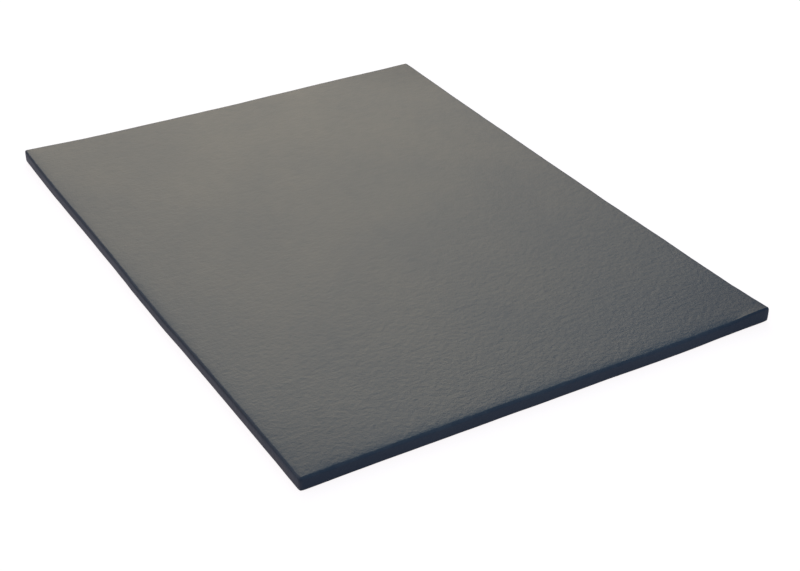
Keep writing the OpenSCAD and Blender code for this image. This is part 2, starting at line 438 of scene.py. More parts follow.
def vinyl_relief(nodes, rest, dimples):
    """Dimples, fine peel and faint ribs under a leather-like grain."""
    long_rest = nodes.vector("MULTIPLY", rest, (0.85, 1.0, 1.0))  # dimples are longer along x
    grain = nodes.math("SUBTRACT", 1.0, nodes.voronoi(rest, scale=780.0))
    fine = nodes.noise(rest, scale=1500.0, detail=2, rough=0.6)
    grain = nodes.math("ADD", nodes.math("MULTIPLY", grain, 0.6),
                       nodes.math("MULTIPLY", fine, 0.4))
    dimple = nodes.noise(long_rest, scale=120.0, detail=2.5, rough=0.55)
    peel = nodes.noise(long_rest, scale=300.0, detail=2, rough=0.5)
    rib = nodes.wave(rest, "Y", Scale=42.0, Distortion=3.0, Detail=2.0, Detail_Scale=1.6)
    # the front half is more worked than the rear half
    place = nodes.new("ShaderNodeSeparateXYZ", {0: rest})
    worked = nodes.ramp(place.outputs["Y"], (-HALF_Y - 10 * MM, 250 * MM), to=(2.4, 1.0))
    normal = nodes.bump(nodes.math("MULTIPLY", dimple, worked), distance=0.00030 * dimples)
    normal = nodes.bump(nodes.math("MULTIPLY", peel, worked), distance=0.00006 * dimples,
                        normal=normal)
    normal = nodes.bump(rib, distance=0.00001 * dimples, normal=normal)
    return nodes.bump(grain, distance=0.00006, strength=0.8, normal=normal)


def vinyl(name, tone=1.0, wear=True, dimples=1.0):
    """Coated vinyl: fine leather-like grain, soft dimples over the foam, satin finish."""
    mat, nodes = material(name)
    rest = nodes.attribute("rest_co", "Vector")
    blotch = nodes.noise(rest, scale=5.0, detail=3, rough=0.55)
    scuff = nodes.noise(nodes.vector("MULTIPLY", rest, (1.0, 1.8, 1.0)),
                        scale=40.0, detail=4, rough=0.65)
    rough = nodes.math(
        "ADD", nodes.ramp(scuff, (0.35, 0.7), to=(VINYL_ROUGH - 0.005, VINYL_ROUGH + 0.020)),
        nodes.ramp(blotch, (0.3, 0.7), to=(-0.012, 0.012)))
    # painted shade line along the left top edge, which also takes away shine there; without wear the
    # painted light and shade are left out too
    painted_shade_line = nodes.attribute("painted_shade_line") if wear else None
    shine = VINYL_SHINE
    if wear:
        shade_line_shine = nodes.ramp(painted_shade_line, (0.0, 1.0), to=(1.0, 0.55), kind="LINEAR")
        shine = nodes.math("MULTIPLY", shade_line_shine, shine)
        for side_x, side_y, dull in DULL_CORNERS:
            corner = (side_x * HALF_X, side_y * HALF_Y, 0.0)
            offset = nodes.vector("SUBTRACT", rest, corner)
            away = nodes.vector("LENGTH", nodes.vector("MULTIPLY", offset, (1.0, 1.0, 0.0)))
            kept = nodes.ramp(away, (0.0, DULL_REACH), to=(1 - dull, 1.0))
            shine = nodes.math("MULTIPLY", kept, shine)
    nodes.principled(Base_Color=vinyl_color(nodes, rest, blotch, tone, painted_shade_line),
                     Roughness=rough, Normal=vinyl_relief(nodes, rest, dimples),
                     IOR=1.5, Specular_IOR_Level=shine)
    return mat


def base_rubber():
    """Dark matt rubber with dust and specks."""
    mat, nodes = material("non_slip_base")
    rest = nodes.attribute("rest_co", "Vector")
    dust = nodes.noise(rest, scale=9.0, detail=4, rough=0.6)
    speck = nodes.ramp(nodes.noise(rest, scale=600.0, detail=2, rough=0.6), (0.5, 0.8))
    color = nodes.mix(nodes.ramp(dust, (0.4, 0.75)),
                      rgb(0.0105, 0.0108, 0.0118), rgb(0.022, 0.022, 0.023))
    color = nodes.mix(nodes.math("MULTIPLY", speck, 0.4), color, rgb(0.04, 0.04, 0.041))
    normal = nodes.bump(nodes.noise(rest, scale=900.0, detail=3, rough=0.6),
                        distance=0.00010, strength=0.8)
    normal = nodes.bump(nodes.voronoi(rest, scale=1400.0), distance=0.00004, strength=0.7,
                        normal=normal)
    nodes.principled(Base_Color=color, Roughness=nodes.ramp(dust, (0.3, 0.7), to=(0.58, 0.72)),
                     Normal=normal, Specular_IOR_Level=0.4)
    return mat


def foam_cells():
    """Pale open-celled foam, yellowed in patches."""
    mat, nodes = material("foam_cells")
    rest = nodes.attribute("rest_co", "Vector")
    cells = nodes.voronoi(rest, scale=900.0)
    patches = nodes.ramp(nodes.noise(rest, scale=14.0, detail=3, rough=0.6), (0.4, 0.7))
    color = nodes.mix(nodes.ramp(cells, (0.0, 0.7)),
                      rgb(0.70, 0.70, 0.64), rgb(0.46, 0.46, 0.42))
    color = nodes.mix(nodes.math("MULTIPLY", patches, 0.3), color, rgb(0.60, 0.58, 0.49))
    nodes.principled(Base_Color=color, Roughness=0.92, Specular_IOR_Level=0.2,
                     Normal=nodes.bump(cells, distance=0.0005, strength=0.9))
    return mat


def tape_weave():
    """Grey cloth with crossing threads."""
    mat, nodes = material("tape_weave")
    rest = nodes.attribute("rest_co", "Vector")
    across, along = (nodes.wave(rest, axis, Scale=0.314 / TAPE_PITCH, Distortion=0.4)
                     for axis in "XY")
    weave = nodes.math("MULTIPLY", across, along)
    color = nodes.mix(weave, TAPE_DARK, TAPE_LIGHT)
    patches = nodes.math("MULTIPLY", nodes.noise(rest, scale=40.0, detail=3), 0.3)
    color = nodes.mix(patches, color, TAPE_DARK)
    nodes.principled(Base_Color=color, Roughness=0.8, Specular_IOR_Level=0.3,
                     Normal=nodes.bump(weave, distance=0.0002, strength=0.9))
    return mat


def thread_twist():
    """Navy thread with diagonal plies."""
    mat, nodes = material("thread_twist")
    ply = nodes.wave(nodes.attribute("rest_co", "Vector"), "DIAGONAL", Scale=420.0)
    nodes.principled(
        Base_Color=nodes.mix(ply, rgb(0.020, 0.027, 0.045), rgb(0.050, 0.062, 0.092)),
        Roughness=0.5, Normal=nodes.bump(ply, distance=0.00008), Specular_IOR_Level=0.5)
    return mat


VINYL = vinyl("vinyl_navy")
VINYL_WALL = vinyl("vinyl_fold_wall", tone=0.9, wear=False, dimples=0.8)
VINYL_STRIP = vinyl("vinyl_strip", tone=0.95, wear=False, dimples=0.3)
RUBBER = base_rubber()
FOAM = foam_cells()
TAPE = tape_weave()
THREAD = thread_twist()

# ---------------------------------------------------------------- the cover, one sheet
TOP_CELLS_X, TOP_CELLS_Y = 168, 114           # cells of the top, along x and on each half
EDGE_LINES = np.array((5.9, 7.0, 8.4, 10.2, 12.6, 16.0)) * MM   # extra lines, from the outline
EDGE_COUNT = len(EDGE_LINES)
LINING_STEP = 6                               # cells of the top to one cell of its inside
CORNER_STEPS, ROLL_STEPS, SIDE_STEPS, UNDER_STEPS = 10, 7, 4, 4
HEM_ROWS = (CORNER_R, 12 * MM, 20 * MM, HEM)  # insets of the rows under the foam
OUTER_ROWS = 2 + (ROLL_STEPS + 1) + SIDE_STEPS + UNDER_STEPS + len(HEM_ROWS)
SIDE_BULGE, SEAM_BEAD = 0.35 * MM, 0.38 * MM
DIMPLE = 0.07 * MM
# two small flaws in the top: x, y, height, radius
BLEMISHES = (
    (-HALF_X + 0.278 * 2 * HALF_X, -HALF_Y + 0.465 * 2 * HALF_X, 0.10 * MM, 4 * MM),
    (-HALF_X + 0.839 * 2 * HALF_X, -HALF_Y + 0.228 * 2 * HALF_X, 0.12 * MM, 4 * MM),
)

# A column of the sides: corner centre line, outward direction, side it is on, grid lines
# of the top it hangs from, and how far round its corner it is from 0 to 1
Column = namedtuple("Column", "x y out_x out_y side i j turn")


def fold_lines():
    """Places across the split where the bend has turned by equal steps."""
    places = []
    for step in range(1, FOLD_STEPS):
        low, high = 0.0, 1.0
        for _ in range(60):
            middle = (low + high) / 2
            if middle * middle * (3 - 2 * middle) < step / FOLD_STEPS:
                low = middle
            else:
                high = middle
        places.append(BLEND * (2 * middle - 1))
    return places


def outline_columns(xs, ys):
    """Columns round the outline, anticlockwise from above, from the front left corner."""
    last_i, last_j = len(xs) - 1, len(ys) - 1
    columns = []

    def corner(x, y, start, i, j):
        for k in range(1, CORNER_STEPS):
            angle = math.radians(start + 90.0 * k / CORNER_STEPS)
            columns.append(Column(x, y, math.cos(angle), math.sin(angle),
                                  "corner", i, j, k / CORNER_STEPS))

    for i in range(last_i + 1):
        columns.append(Column(xs[i], -CENTRE_Y, 0, -1, "front", i, 0, 0))
    corner(CENTRE_X, -CENTRE_Y, -90, last_i, 0)
    for j in range(last_j + 1):
        columns.append(Column(CENTRE_X, ys[j], 1, 0, "right", last_i, j, 0))
    corner(CENTRE_X, CENTRE_Y, 0, last_i, last_j)
    for i in range(last_i, -1, -1):
        columns.append(Column(xs[i], CENTRE_Y, 0, 1, "back", i, last_j, 0))
    corner(-CENTRE_X, CENTRE_Y, 90, 0, last_j)
    for j in range(last_j, -1, -1):
        columns.append(Column(-CENTRE_X, ys[j], -1, 0, "left", 0, j, 0))
    corner(-CENTRE_X, -CENTRE_Y, 180, 0, 0)
    return columns


def section_rows(depth):
    """(inset, z) down the side and in under the foam, this deep inside the outer face."""
    roll, under = ROLL_R - depth, COVER_UNDER_R - depth
    rows = [(CORNER_R, TOP - depth), (CORNER_R - 0.5 * MM, TOP - depth)]
    for k in range(ROLL_STEPS + 1):
        angle = math.pi / 2 * k / ROLL_STEPS
        rows.append((depth + roll * (1 - math.sin(angle)),
                     TOP - depth - roll * (1 - math.cos(angle))))
    high, low = TOP - depth - roll, BASE_TOP + depth + under
    for k in range(1, SIDE_STEPS + 1):
        rows.append((depth, high + (low - high) * k / SIDE_STEPS))
    for k in range(1, UNDER_STEPS + 1):
        angle = math.pi / 2 * k / UNDER_STEPS
        rows.append((depth + under * (1 - math.cos(angle)),
                     BASE_TOP + depth + under * (1 - math.sin(angle))))
    rows += [(inset, BASE_TOP + depth) for inset in HEM_ROWS]
    return rows


def side_vertex(column, row, inset, z):
    """A point of the rolled side, and its (wear, painted left light, painted shade line)."""
    outer, corner = row < OUTER_ROWS, column.side == "corner"
    bulge = 0.0
    if outer and row > 1 and z < TOP - 2 * MM:
        part = min(max((z - BASE_TOP) / (TOP - BASE_TOP), 0), 1)
        bulge = SIDE_BULGE * math.sin(math.pi * part)
    if corner and 4 < row < OUTER_ROWS - 6:
        # bead of the upright seam
        bulge += SEAM_BEAD * bell(column.turn - 0.5, 0.11)
    out_by = CORNER_R - inset + bulge
    point = (column.x + column.out_x * out_by, column.y + column.out_y * out_by, z)
    if not outer:
        return point, (0.0, 0.0, 0.0)
    wear = bell(z - (TOP - 1.2 * MM), 2.2 * MM)
    if corner:
        wear = max(wear, 0.7)
    leftward = max(-column.out_x, 0.0)
    # painted light: the left side gets a lighter glow below its roll
    painted_left_light = leftward * smooth((18.5 * MM - z) / (4 * MM))
    # painted shade: a dark line where the left side turns into the top, clearer away from the front
    painted_shade_line = leftward * bell(z - 20.5 * MM, 2.6 * MM)
    painted_shade_line *= 0.25 + 0.75 * smooth((column.y + HALF_Y) / (0.35 * HALF_Y))
    return point, (wear, painted_left_light, painted_shade_line)


def top_relief(x, y):
    """How the foam prints through the top, with two flaws."""
    flat_fold = smooth((np.abs(y) - SPLIT) / (14 * MM))
    worked = 1.25 - 0.5 * smooth((y + HALF_Y) / (2 * HALF_Y))     # more at the front
    relief = flat_fold * (worked * DIMPLE * noise(x / 0.0150, y / 0.0100, 41)
                          + 0.7 * worked * DIMPLE * noise(x / 0.0260, y / 0.0190, 42)
                          + 0.08 * MM * noise(x / 0.16, y / 0.13, 43)
                          + 0.10 * MM * noise(x / 0.42, y / 0.42, 44))
    for flaw_x, flaw_y, height, radius in BLEMISHES:
        relief += height * bell(np.hypot(x - flaw_x, y - flaw_y), radius)
    return relief


def pinch_crest(x, y, z):
    """Crest of the pinch along the front edge by the right corner."""
    along = smooth(1.25 - np.abs(x - (HALF_X - 34 * MM)) / (46 * MM))
    from_front = y + HALF_Y
    crest = along * (1.4 * MM * bell(from_front - 2.7 * MM, 2.4 * MM)
                     + 0.75 * MM * bell(from_front - 6 * MM, 6 * MM))
    return crest * np.clip((z - (TOP - 6 * MM)) / (5 * MM), 0, 1) * (z > TOP / 2)


class Cover:
    """The sheet over the top, down the sides and under the foam, split at y = 0."""

    def __init__(self):
        inner_x = np.linspace(-HALF_X + EDGE_LINES[-1], HALF_X - EDGE_LINES[-1],
                              TOP_CELLS_X + 1)
        inner_y = np.linspace(-HALF_Y + EDGE_LINES[-1], -SPLIT, TOP_CELLS_Y + 1)
        edge = EDGE_LINES[:-1]
        self.xs = np.concatenate([[-CENTRE_X], -HALF_X + edge, inner_x,
                                  (HALF_X - edge)[::-1], [CENTRE_X]])
        front = np.concatenate([[-CENTRE_Y], -HALF_Y + edge, inner_y])
        self.ys = np.concatenate([front, fold_lines(), -front[::-1]])
        self.last_i, self.last_j = len(self.xs) - 1, len(self.ys) - 1
        # the two lines either side of the fold
        self.fold_front = len(front) - 1
        self.fold_back = self.fold_front + FOLD_STEPS
        self.columns = outline_columns(self.xs, self.ys)
        # down the outer face and back up the inner one
        self.section = section_rows(0.0) + section_rows(COVER_T)[::-1]
        self.verts, self.marks, self.faces, self.caps = [], [], [], []
        self.add_top()
        self.add_side_vertices()
        self.add_side_faces()
        self.add_cut_ends()
        self.add_lining()

    def add(self, point, marks=(0.0, 0.0, 0.0)):
        self.verts.append(point)
        self.marks.append(marks)
        return len(self.verts) - 1

    def add_top(self):
        self.grid = np.zeros((self.last_i + 1, self.last_j + 1), int)
        for j in range(self.last_j + 1):
            for i in range(self.last_i + 1):
                self.grid[i, j] = self.add((self.xs[i], self.ys[j], TOP))
        grid = self.grid
        for j in range(self.last_j):
            for i in range(self.last_i):
                self.faces.append((grid[i, j], grid[i + 1, j], grid[i + 1, j + 1], grid[i, j + 1]))

    def add_side_vertices(self):
        last_row = len(self.section) - 1
        self.rows = -np.ones((len(self.columns), last_row + 1), int)
        shared = {}
        for c, column in enumerate(self.columns):
            i, j = column.i, column.j
            end_side = column.side in ("right", "left")
            in_fold = end_side and self.fold_front < j < self.fold_back
            at_corner = i in (0, self.last_i) and j in (0, self.last_j)
            self.rows[c, 0] = self.grid[i, j]
            for row in range(1, last_row + 1):
                if in_fold and 1 < row < last_row - 1:
                    continue
                inset, z = self.section[row]
                if inset < CORNER_R - 1e-9:
                    self.rows[c, row] = self.add(*side_vertex(column, row, inset, z))
                    continue
                # inside the corner centres the loops are plain mitred rectangles
                key = (i, j, row)
                if key not in shared:
                    x = column.x / CENTRE_X * (HALF_X - inset)
                    y = column.y / CENTRE_Y * (HALF_Y - inset)
                    if end_side and not at_corner and abs(column.y) <= SPLIT * 1.001:
                        y = column.y
                    vertex = self.add((x, y, z))
                    if at_corner:
                        shared[key] = vertex
                else:
                    vertex = shared[key]
                self.rows[c, row] = vertex

    @staticmethod
    def add_face(store, *corners):
        """Adds a face without repeated corners, unless it has closed up."""
        distinct = []
        for vertex in corners:
            if vertex not in distinct:
                distinct.append(vertex)
        if len(distinct) >= 3:
            store.append(tuple(distinct))

    def add_side_faces(self):
        last_row = len(self.section) - 1
        for c, column in enumerate(self.columns):
            after = (c + 1) % len(self.columns)
            following = self.columns[after]
            here, there = self.rows[c], self.rows[after]
            split = (column.side == following.side and column.side in ("right", "left")
                     and self.fold_front <= min(column.j, following.j)
                     and max(column.j, following.j) <= self.fold_back)
            # across the split only the top of the sheet carries on
            for row in ((0, last_row - 1) if split else range(last_row)):
                self.add_face(self.faces, here[row], here[row + 1], there[row + 1], there[row])
            if split:
                self.add_face(self.caps, here[1], here[last_row - 1],
                              there[last_row - 1], there[1])

    def add_cut_ends(self):
        """Closes the thickness of the sides and hem at the split."""
        last_row = len(self.section) - 1
        for rows, column in zip(self.rows, self.columns):
            at_split = column.j in (self.fold_front, self.fold_back)
            if column.side not in ("right", "left") or not at_split:
                continue
            faces_back = column.j == self.fold_front
            for row in range(1, OUTER_ROWS - 1):
                outer, outer_next = rows[row], rows[row + 1]
                inner, inner_next = rows[last_row - row], rows[last_row - 1 - row]
                if (column.side == "right") == faces_back:
                    self.add_face(self.caps, outer, outer_next, inner_next, inner)
                else:
                    self.add_face(self.caps, outer, inner, inner_next, outer_next)

    def add_lining(self):
        """Inside of the top: coarse cells whose border keeps every edge vertex."""
        last_i, last_j = self.last_i, self.last_j
        lining = {(column.i, column.j): rows[-1]
                  for rows, column in zip(self.rows, self.columns) if column.side != "corner"}
        lines_i = [*range(EDGE_COUNT), *range(EDGE_COUNT, last_i - EDGE_COUNT + 1, LINING_STEP),
                   *range(last_i - EDGE_COUNT + 1, last_i + 1)]
        lines_j = [*range(EDGE_COUNT), *range(EDGE_COUNT, self.fold_front + 1, LINING_STEP),
                   *range(self.fold_front + 1, self.fold_back),
                   *range(self.fold_back, last_j - EDGE_COUNT + 1, LINING_STEP),
                   *range(last_j - EDGE_COUNT + 1, last_j + 1)]
        for i in lines_i:
            for j in lines_j:
                if (i, j) not in lining:
                    lining[i, j] = self.add((self.xs[i], self.ys[j], TOP - COVER_T))
        for i0, i1 in zip(lines_i, lines_i[1:]):
            for j0, j1 in zip(lines_j, lines_j[1:]):
                loop = [(i, j0) for i in (range(i0, i1) if j0 == 0 else (i0,))]
                loop += [(i1, j) for j in (range(j0, j1) if i1 == last_i else (j0,))]
                loop += [(i, j1) for i in (range(i1, i0, -1) if j1 == last_j else (i1,))]
                loop += [(i0, j) for j in (range(j1, j0, -1) if i0 == 0 else (j1,))]
                self.faces.append(tuple(lining[place] for place in reversed(loop)))

    def shape(self):
        verts = np.array(self.verts)
        # the top takes all of its relief, the roll less and less, the sides none
        share = np.zeros(len(verts))
        share[self.grid.ravel()] = 1.0
        for row in range(1, 2 + ROLL_STEPS + 1):
            used = self.rows[:, row]
            share[used[used >= 0]] = 1 - max(row - 2, 0) / ROLL_STEPS
        verts[:, 2] += top_relief(verts[:, 0], verts[:, 1]) * share
        verts[:, 2] += pinch_crest(*verts.T)
        return verts, self.faces + self.caps


cover = Cover()
make_bending("top_cover", cover.shape(), VINYL,
             marks=dict(zip(("wear", "painted_left_light", "painted_shade_line"), zip(*cover.marks))))


# ---------------------------------------------------------------- closed slabs
def shell_faces(count_i, count_j, start=0):
    """Faces of a closed solid between two layers of one grid, the first facing down."""
    last_i, last_j = count_i - 1, count_j - 1

    def at(layer, i, j):
        return start + (layer * count_i + i) * count_j + j

    def rim(a, b):
        return (at(0, *a), at(0, *b), at(1, *b), at(1, *a))

    faces = []
    for i in range(last_i):
        for j in range(last_j):
            faces.append((at(0, i, j), at(0, i, j + 1), at(0, i + 1, j + 1), at(0, i + 1, j)))
            faces.append((at(1, i, j), at(1, i + 1, j), at(1, i + 1, j + 1), at(1, i, j + 1)))
    for i in range(last_i):
        faces.append(rim((i, 0), (i + 1, 0)))
        faces.append(rim((i + 1, last_j), (i, last_j)))
    for j in range(last_j):
        faces.append(rim((0, j + 1), (0, j)))
        faces.append(rim((last_i, j), (last_i, j + 1)))
    return faces


def slab(xs, ys, low, high):
    """Closed solid between two height functions over a grid."""
    grid_x, grid_y = np.meshgrid(xs, ys, indexing="ij")
    layers = [np.stack([grid_x, grid_y, height(grid_x, grid_y)], -1).reshape(-1, 3)
              for height in (low, high)]
    return np.concatenate(layers), shell_faces(len(xs), len(ys))


def lines(start, end, step, extra=()):
    """Grid lines about a step apart, with extra ones where they are wanted."""
    count = max(1, int(round((end - start) / step)))
    places = np.concatenate([np.linspace(start, end, count + 1), np.array(extra, float)])
    places = sorted(set(np.round(places, 7)))
    return np.array([place for place in places if start - 1e-9 <= place <= end + 1e-9])


def both_sides(places):
    return places + [-place for place in places]


def round_corners(verts, edge_x, front_y, radius):
    """Rounds the two upright corners at the front."""
    centre_y = front_y + radius
    for side in (-1, 1):
        centre_x = side * (edge_x - radius)
        near = (side * verts[:, 0] > edge_x - radius) & (verts[:, 1] < centre_y)
        dx, dy = verts[near, 0] - centre_x, verts[near, 1] - centre_y
        square, away = np.maximum(np.abs(dx), np.abs(dy)), np.hypot(dx, dy)
        scale = np.where(away > 1e-9, square / np.maximum(away, 1e-9), 1)
        verts[near, 0], verts[near, 1] = centre_x + dx * scale, centre_y + dy * scale


# ---------------------------------------------------------------- non-slip base sheets
RIB_PITCH, RIB_DEPTH = 5.0 * MM, 0.34 * MM
GROOVE_W, GROOVE_D = 1.2 * MM, 0.8 * MM       # the groove that holds the stitches
STITCH_X = HALF_X - STITCH_INSET
STITCH_FRONT, STITCH_FOLD = -(HALF_Y - STITCH_INSET), -STITCH_INSET


def base_half():
    """Front base sheet: ribs along x below, with a plain border and a stitch groove."""
    edge_x, edge_y = HALF_X - BASE_INSET, HALF_Y - BASE_INSET
    groove = GROOVE_W / 2
    across_groove = (-groove - 0.4 * MM, -groove, -groove * 0.5, 0, groove * 0.5, groove,
                     groove + 0.4 * MM)

    def around(centre):
        return [centre + offset for offset in across_groove]

    xs = lines(-edge_x, edge_x, 19 * MM,
               both_sides(around(STITCH_X) + [edge_x - 0.5 * MM, edge_x - 4 * MM]))
    first_rib = math.floor(-edge_y / RIB_PITCH)
    ribs = [k * RIB_PITCH + part * RIB_PITCH
            for k in range(first_rib, 0) for part in (0.0, 0.22, 0.5, 0.78)]
    ys = lines(-edge_y, -SPLIT, 200 * MM, ribs + around(STITCH_FRONT) + around(STITCH_FOLD)
               + [-edge_y + 0.5 * MM, -SPLIT - 0.5 * MM])
    # drop lines that nearly coincide with the one before
    ys = np.array([y for k, y in enumerate(ys)
                   if k == 0 or y - ys[k - 1] > 0.03 * MM or k == len(ys) - 1])

    def low(x, y):
        part = (y / RIB_PITCH) % 1.0
        valley = RIB_DEPTH * smooth((0.5 - np.abs(part - 0.5)) * 2 * 1.6 - 0.3)
        from_edge = np.minimum.reduce([edge_x - np.abs(x), y + edge_y, -SPLIT - y])
        off_x = np.abs(np.abs(x) - STITCH_X)
        off_y = np.minimum(np.abs(y - STITCH_FRONT), np.abs(y - STITCH_FOLD))
        clear = smooth((np.minimum(off_x, off_y) - 3.5 * MM) / (1.5 * MM))
        border = smooth((from_edge - 18.5 * MM) / (1.5 * MM))
        reach = groove + 1e-6
        on_x = (off_x <= reach) & (y >= STITCH_FRONT - reach) & (y <= STITCH_FOLD + reach)
        on_y = (off_y <= reach) & (np.abs(x) <= STITCH_X + reach)
        depth = GROOVE_D * np.maximum(np.where(on_x, 1 - (off_x / groove) ** 4, 0),
                                      np.where(on_y, 1 - (off_y / groove) ** 4, 0))
        bevel = 0.35 * MM * (1 - smooth(from_edge / (0.5 * MM)))
        return np.maximum(valley * border * clear, depth) + bevel

    verts, faces = slab(xs, ys, low, lambda x, y: np.full_like(x, BASE_TOP))
    round_corners(verts, edge_x, -edge_y, CORNER_R)
    at_split = verts[:, 1] > -SPLIT - 0.01 * MM
    from_end = edge_x - np.abs(verts[at_split, 0])
    verts[at_split, 1] += MEET * smooth((from_end - 2 * MM) / (9 * MM))
    return verts, faces


make_halves("base_sheet", base_half(), RUBBER, sharp_angle=42)


# ---------------------------------------------------------------- foam blocks
def foam_half():
    """Front foam block, with a bed for the tape above and for the hem below."""
    edge_x, front_y, fold_y = FOAM_HI.x, FOAM_LO.y, FOAM_HI.y
    inset = HALF_X - edge_x
    top, bottom = FOAM_HI.z, BASE_TOP + COVER_T + 0.05 * MM
    roll, under = ROLL_R - inset, FOAM_UNDER_R - inset
    # line depths from the edge: the roll, the flat beside it and the edge of the hem
    depths = (0.0, roll * 0.076, roll * 0.29, roll * 0.62, roll, 6 * MM, 9 * MM,
              HEM - inset - 0.3 * MM, HEM - inset + 0.3 * MM)
    xs = lines(-edge_x, edge_x, 12 * MM, both_sides([edge_x - depth for depth in depths]))
    ys = lines(front_y, fold_y, 12 * MM, [front_y + depth for depth in depths]
               + [TAPE_LO.y - 0.3 * MM, TAPE_LO.y + 0.3 * MM])

    def from_edge(x, y):
        return np.minimum(edge_x - np.abs(x), y - front_y)

    def high(x, y):
        z = top - roll_drop(from_edge(x, y), roll)
        in_tape = (smooth((y - TAPE_LO.y + 0.3 * MM) / (0.6 * MM))
                   * smooth((TAPE_HI.x + 0.5 * MM - np.abs(x)) / (0.6 * MM)))
        z = np.minimum(z, top - 0.55 * MM * in_tape)
        pits = (0.06 * MM * noise(x / 0.0035, y / 0.0035, 51)
                + 0.05 * MM * noise(x / 0.02, y / 0.02, 52))
        return z + np.minimum(pits, 0)

    def low(x, y):
        from_outline = np.minimum(HALF_X - np.abs(x), y + HALF_Y)
        past_hem = smooth((from_outline - HEM + 0.3 * MM) / (0.6 * MM))
        return bottom + roll_drop(from_edge(x, y), under) - COVER_T * past_hem

    verts, faces = slab(xs, ys, low, high)
    # rounder than the cover's corners, to clear the seam strips
    round_corners(verts, edge_x, front_y, 5.4 * MM - inset)
    return verts, faces


make_halves("foam_core", foam_half(), FOAM, sharp_angle=40)


# ---------------------------------------------------------------- sheets closing the foam
def fold_wall_half():
    """Upright sheet at the fold end of the front foam block, slightly dented."""
    edge_x = WALL_HI.x
    between_hems = HALF_X - HEM - 0.4 * MM    # here the wall reaches down to the base sheet
    end_depths = (0.15 * MM, 0.6 * MM, 1.4 * MM, 2.2 * MM, 3.2 * MM)
    xs = lines(-edge_x, edge_x, 6 * MM,
               both_sides([edge_x - depth for depth in end_depths]
                          + [between_hems, between_hems - 0.3 * MM]))
    parts = lines(0, 1, 1 / 14)               # up the wall
    verts = []
    for fold_side, y in ((True, WALL_HI.y), (False, WALL_LO.y)):
        for x in xs:
            from_end = edge_x - abs(x)
            if abs(x) > between_hems - 0.15 * MM:
                bottom = WALL_LO.z + roll_drop(from_end, FOAM_UNDER_R - COVER_T)
            else:
                bottom = BASE_TOP + 0.02 * MM
            top = min(WALL_HI.z, WALL_HI.z + 0.6 * MM - roll_drop(from_end, ROLL_R - COVER_T))
            for part in parts:
                z = bottom + (top - bottom) * part
                push = 0.0
                if fold_side:
                    dent = (0.10 * MM * (noise(x / 0.045, z / 0.014, 61) - 0.6)
                            + 0.04 * MM * noise(x / 0.011, z / 0.008, 62))
                    push = min(dent, 0.0) * math.sin(math.pi * part)
                    push += (MEET * smooth((from_end - 2 * MM) / (9 * MM))
                             * smooth(min(part, 1 - part) / 0.06))
                verts.append((x, y + push, z))
    return np.array(verts), shell_faces(len(xs), len(parts))


make_halves("fold_wall", fold_wall_half(), VINYL_WALL, sharp_angle=50)


# ---------------------------------------------------------------- tape across the fold
def tape():
    """One flat strip under the cover, a little uneven below."""
    xs = lines(TAPE_LO.x, TAPE_HI.x, 8 * MM)
    ys = np.concatenate([np.linspace(TAPE_LO.y, -SPLIT, 13), fold_lines(),
                         np.linspace(SPLIT, -TAPE_LO.y, 13)])

    def low(x, y):
        off_fold = smooth((np.abs(y) - 2 * MM) / (3 * MM))
        return TAPE_LO.z + 0.05 * MM * np.abs(noise(x / 0.02, y / 0.02, 71)) * off_fold

    return slab(xs, ys, low, lambda x, y: np.full_like(x, TAPE_HI.z - 0.02 * MM))


make_bending("hinge_tape", tape(), TAPE)

# ---------------------------------------------------------------- corner seam strips
STRIP_T = 0.5 * MM
STRIP_WING = 12 * MM                          # straight part either side of the corner
WING_STEPS, STRIP_CORNER_STEPS = 8, 12


def seam_half():
    """Strips inside the two upright corners of the front panel."""
    radius = CORNER_R - COVER_T - 0.02 * MM
    # corner centre line and outward direction
    path = [(CENTRE_X - STRIP_WING + STRIP_WING * k / WING_STEPS, -CENTRE_Y, 0, -1)
            for k in range(WING_STEPS)]
    for k in range(STRIP_CORNER_STEPS + 1):
        angle = math.radians(-90 + 90 * k / STRIP_CORNER_STEPS)
        path.append((CENTRE_X, -CENTRE_Y, math.cos(angle), math.sin(angle)))
    path += [(CENTRE_X, -CENTRE_Y + STRIP_WING * k / WING_STEPS, 1, 0)
             for k in range(1, WING_STEPS + 1)]
    heights = np.linspace(SEAM_LO.z, SEAM_HI.z, 15)
    verts, faces = [], []
    for side in (1, -1):
        start = len(verts)
        for out_by in (radius, radius - STRIP_T):
            verts += [(side * (x + out_x * out_by), y + out_y * out_by, z)
                      for x, y, out_x, out_y in path for z in heights]
        # the first layer is the outer one, so the faces turn over
        strip = [(a, d, c, b) for a, b, c, d in shell_faces(len(path), len(heights), start)]
        faces += strip if side > 0 else [tuple(reversed(face)) for face in strip]
    return np.array(verts), faces


make_halves("corner_seams", seam_half(), VINYL_STRIP, sharp_angle=50)

# ---------------------------------------------------------------- stitches under the base
STITCH_PITCH, STITCH_LENGTH, THREAD_R = 8 * MM, 5.6 * MM, 0.35 * MM
STITCH_RINGS, STITCH_AROUND = 9, 8


def stitch_places():
    """Every stitch: centre of its line, whether it runs along x, place along the line."""
    middle_y = (STITCH_FRONT + STITCH_FOLD) / 2
    length_y = STITCH_FOLD - STITCH_FRONT
    runs = ((0, STITCH_FRONT, True, 2 * STITCH_X), (0, STITCH_FOLD, True, 2 * STITCH_X),
            (-STITCH_X, middle_y, False, length_y), (STITCH_X, middle_y, False, length_y))
    places = []
    for x, y, along_x, length in runs:
        count = int(math.floor((length - STITCH_PITCH) / STITCH_PITCH + 1e-6))
        places += [(x, y, along_x, (k - (count - 1) / 2) * STITCH_PITCH)
                   for k in range(count)]
    return places


def jitter(number, row, seed):
    return float(hash01(np.array([number]), np.array([row]), seed)[0]) - 0.5


